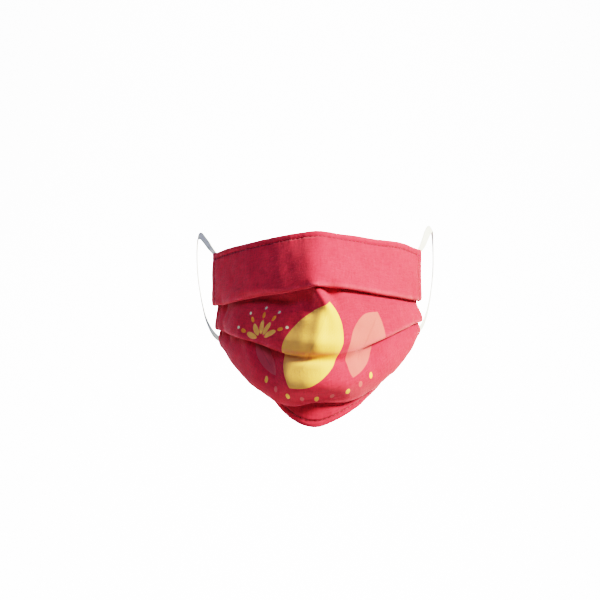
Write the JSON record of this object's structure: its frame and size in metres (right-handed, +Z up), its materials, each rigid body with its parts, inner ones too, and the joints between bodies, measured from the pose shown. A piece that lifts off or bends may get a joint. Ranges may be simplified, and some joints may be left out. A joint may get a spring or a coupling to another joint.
{
  "type": "cloth face mask",
  "caption": "Pleated cloth face mask in its worn form, with stitched hems at the edges and flat elastic loops that pass round the ears.",
  "frame": {"origin": "middle of the top edge, on the inner face, where the mask sits on the bridge of the nose", "axes": "+Z up along the face, -Y out of the front of the mask, +X to the right of someone who looks at its front"},
  "size_m": [0.1572, 0.1343, 0.1292],
  "materials": {
    "red_cotton": "matt woven cotton",
    "white_elastic": "matt ribbed elastic"
  },
  "bodies": {
    "root": {"mask_body": "red_cotton", "top_hem": "red_cotton", "bottom_hem": "red_cotton", "side_hem_left": "red_cotton", "side_hem_right": "red_cotton", "ear_loop_left": "white_elastic", "ear_loop_right": "white_elastic"}
  },
  "joints": []
}
